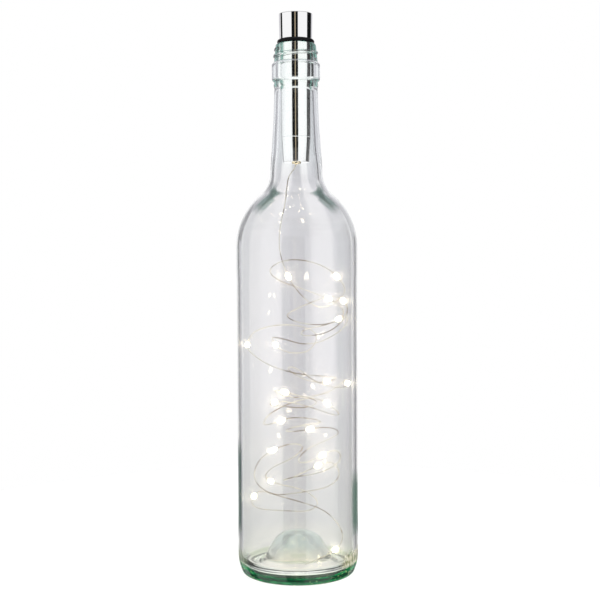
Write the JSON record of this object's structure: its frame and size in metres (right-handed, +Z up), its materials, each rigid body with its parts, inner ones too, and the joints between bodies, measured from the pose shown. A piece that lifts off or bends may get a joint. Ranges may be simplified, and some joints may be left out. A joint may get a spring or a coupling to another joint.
{
  "type": "cork bottle light",
  "caption": "Clear green glass bottle with a metal stopper that hangs a string of small lamps inside the glass; the stopper's cap lifts off a charging plug.",
  "frame": {"origin": "middle of the ring that the bottle stands on, at table height", "axes": "+Z up along the bottle's axis; -Y is the side that the picture shows, with +X to its right"},
  "size_m": [0.0742, 0.0742, 0.3415],
  "materials": {
    "bottle_glass": "smooth, clear with a green tint, deep green where it is thick",
    "seal_rubber": "smooth glossy black rubber",
    "polished_metal": "mirror polished",
    "black_plastic": "moulded, satin",
    "white_plastic": "moulded, satin",
    "bush_brass": "turned, lightly worn",
    "plug_steel": "nickel plated sheet",
    "contact_gold": "gold flashed",
    "board_green": "green solder mask over glass epoxy",
    "solder_tin": "tinned ends",
    "cell_wrap_blue": "shrunk film, plain",
    "insulator_paper": "stiff insulating paper",
    "pad_foam": "closed cell foam",
    "lead_red_pvc": "soft insulation",
    "lead_black_pvc": "soft insulation",
    "wire_silver": "two fine tinned copper wires, lacquered and twisted together",
    "drop_resin": "clear cured resin, smooth",
    "led_yellow": "warm white lamp with its phosphor coat"
  },
  "bodies": {
    "bottle": {"bottle": "bottle_glass"},
    "stopper": {"sealing_ring": "seal_rubber", "body_tube": "polished_metal", "end_cap": "polished_metal", "exit_bush": "bush_brass", "core_chassis": "black_plastic", "usb_shell": "plug_steel", "usb_tongue": "white_plastic", "usb_contacts": "contact_gold", "circuit_board": "board_green", "board_chips": "black_plastic", "board_passives": "solder_tin", "switch_body": "plug_steel", "cell_can": "plug_steel", "cell_wrap": "cell_wrap_blue", "cell_insulator": "insulator_paper", "cell_pads": "pad_foam", "nickel_strips": "plug_steel", "lead_red": "lead_red_pvc", "lead_black": "lead_black_pvc", "splice_sleeves": "black_plastic", "wire_knot": "wire_silver", "string_wire": "wire_silver", "led_drops": "drop_resin", "led_chips": "led_yellow"},
    "head_cap": {"head_cap": "polished_metal", "cap_liner": "black_plastic"},
    "switch_button": {"switch_button": "white_plastic"}
  },
  "joints": [
    {"name": "stopper_lift", "type": "slide", "parent": "bottle", "child": "stopper", "axis": [0, 0, 1], "range_m": [0, 0.09], "deforming": ["string_wire", "led_drops", "led_chips"]},
    {"name": "cap_lift", "type": "slide", "parent": "stopper", "child": "head_cap", "axis": [0, 0, 1], "range_m": [0, 0.02]},
    {"name": "button_press", "type": "slide", "parent": "stopper", "child": "switch_button", "axis": [0, 0, -1], "range_m": [0, 0.0004], "stiffness_N_per_m": 400}
  ]
}
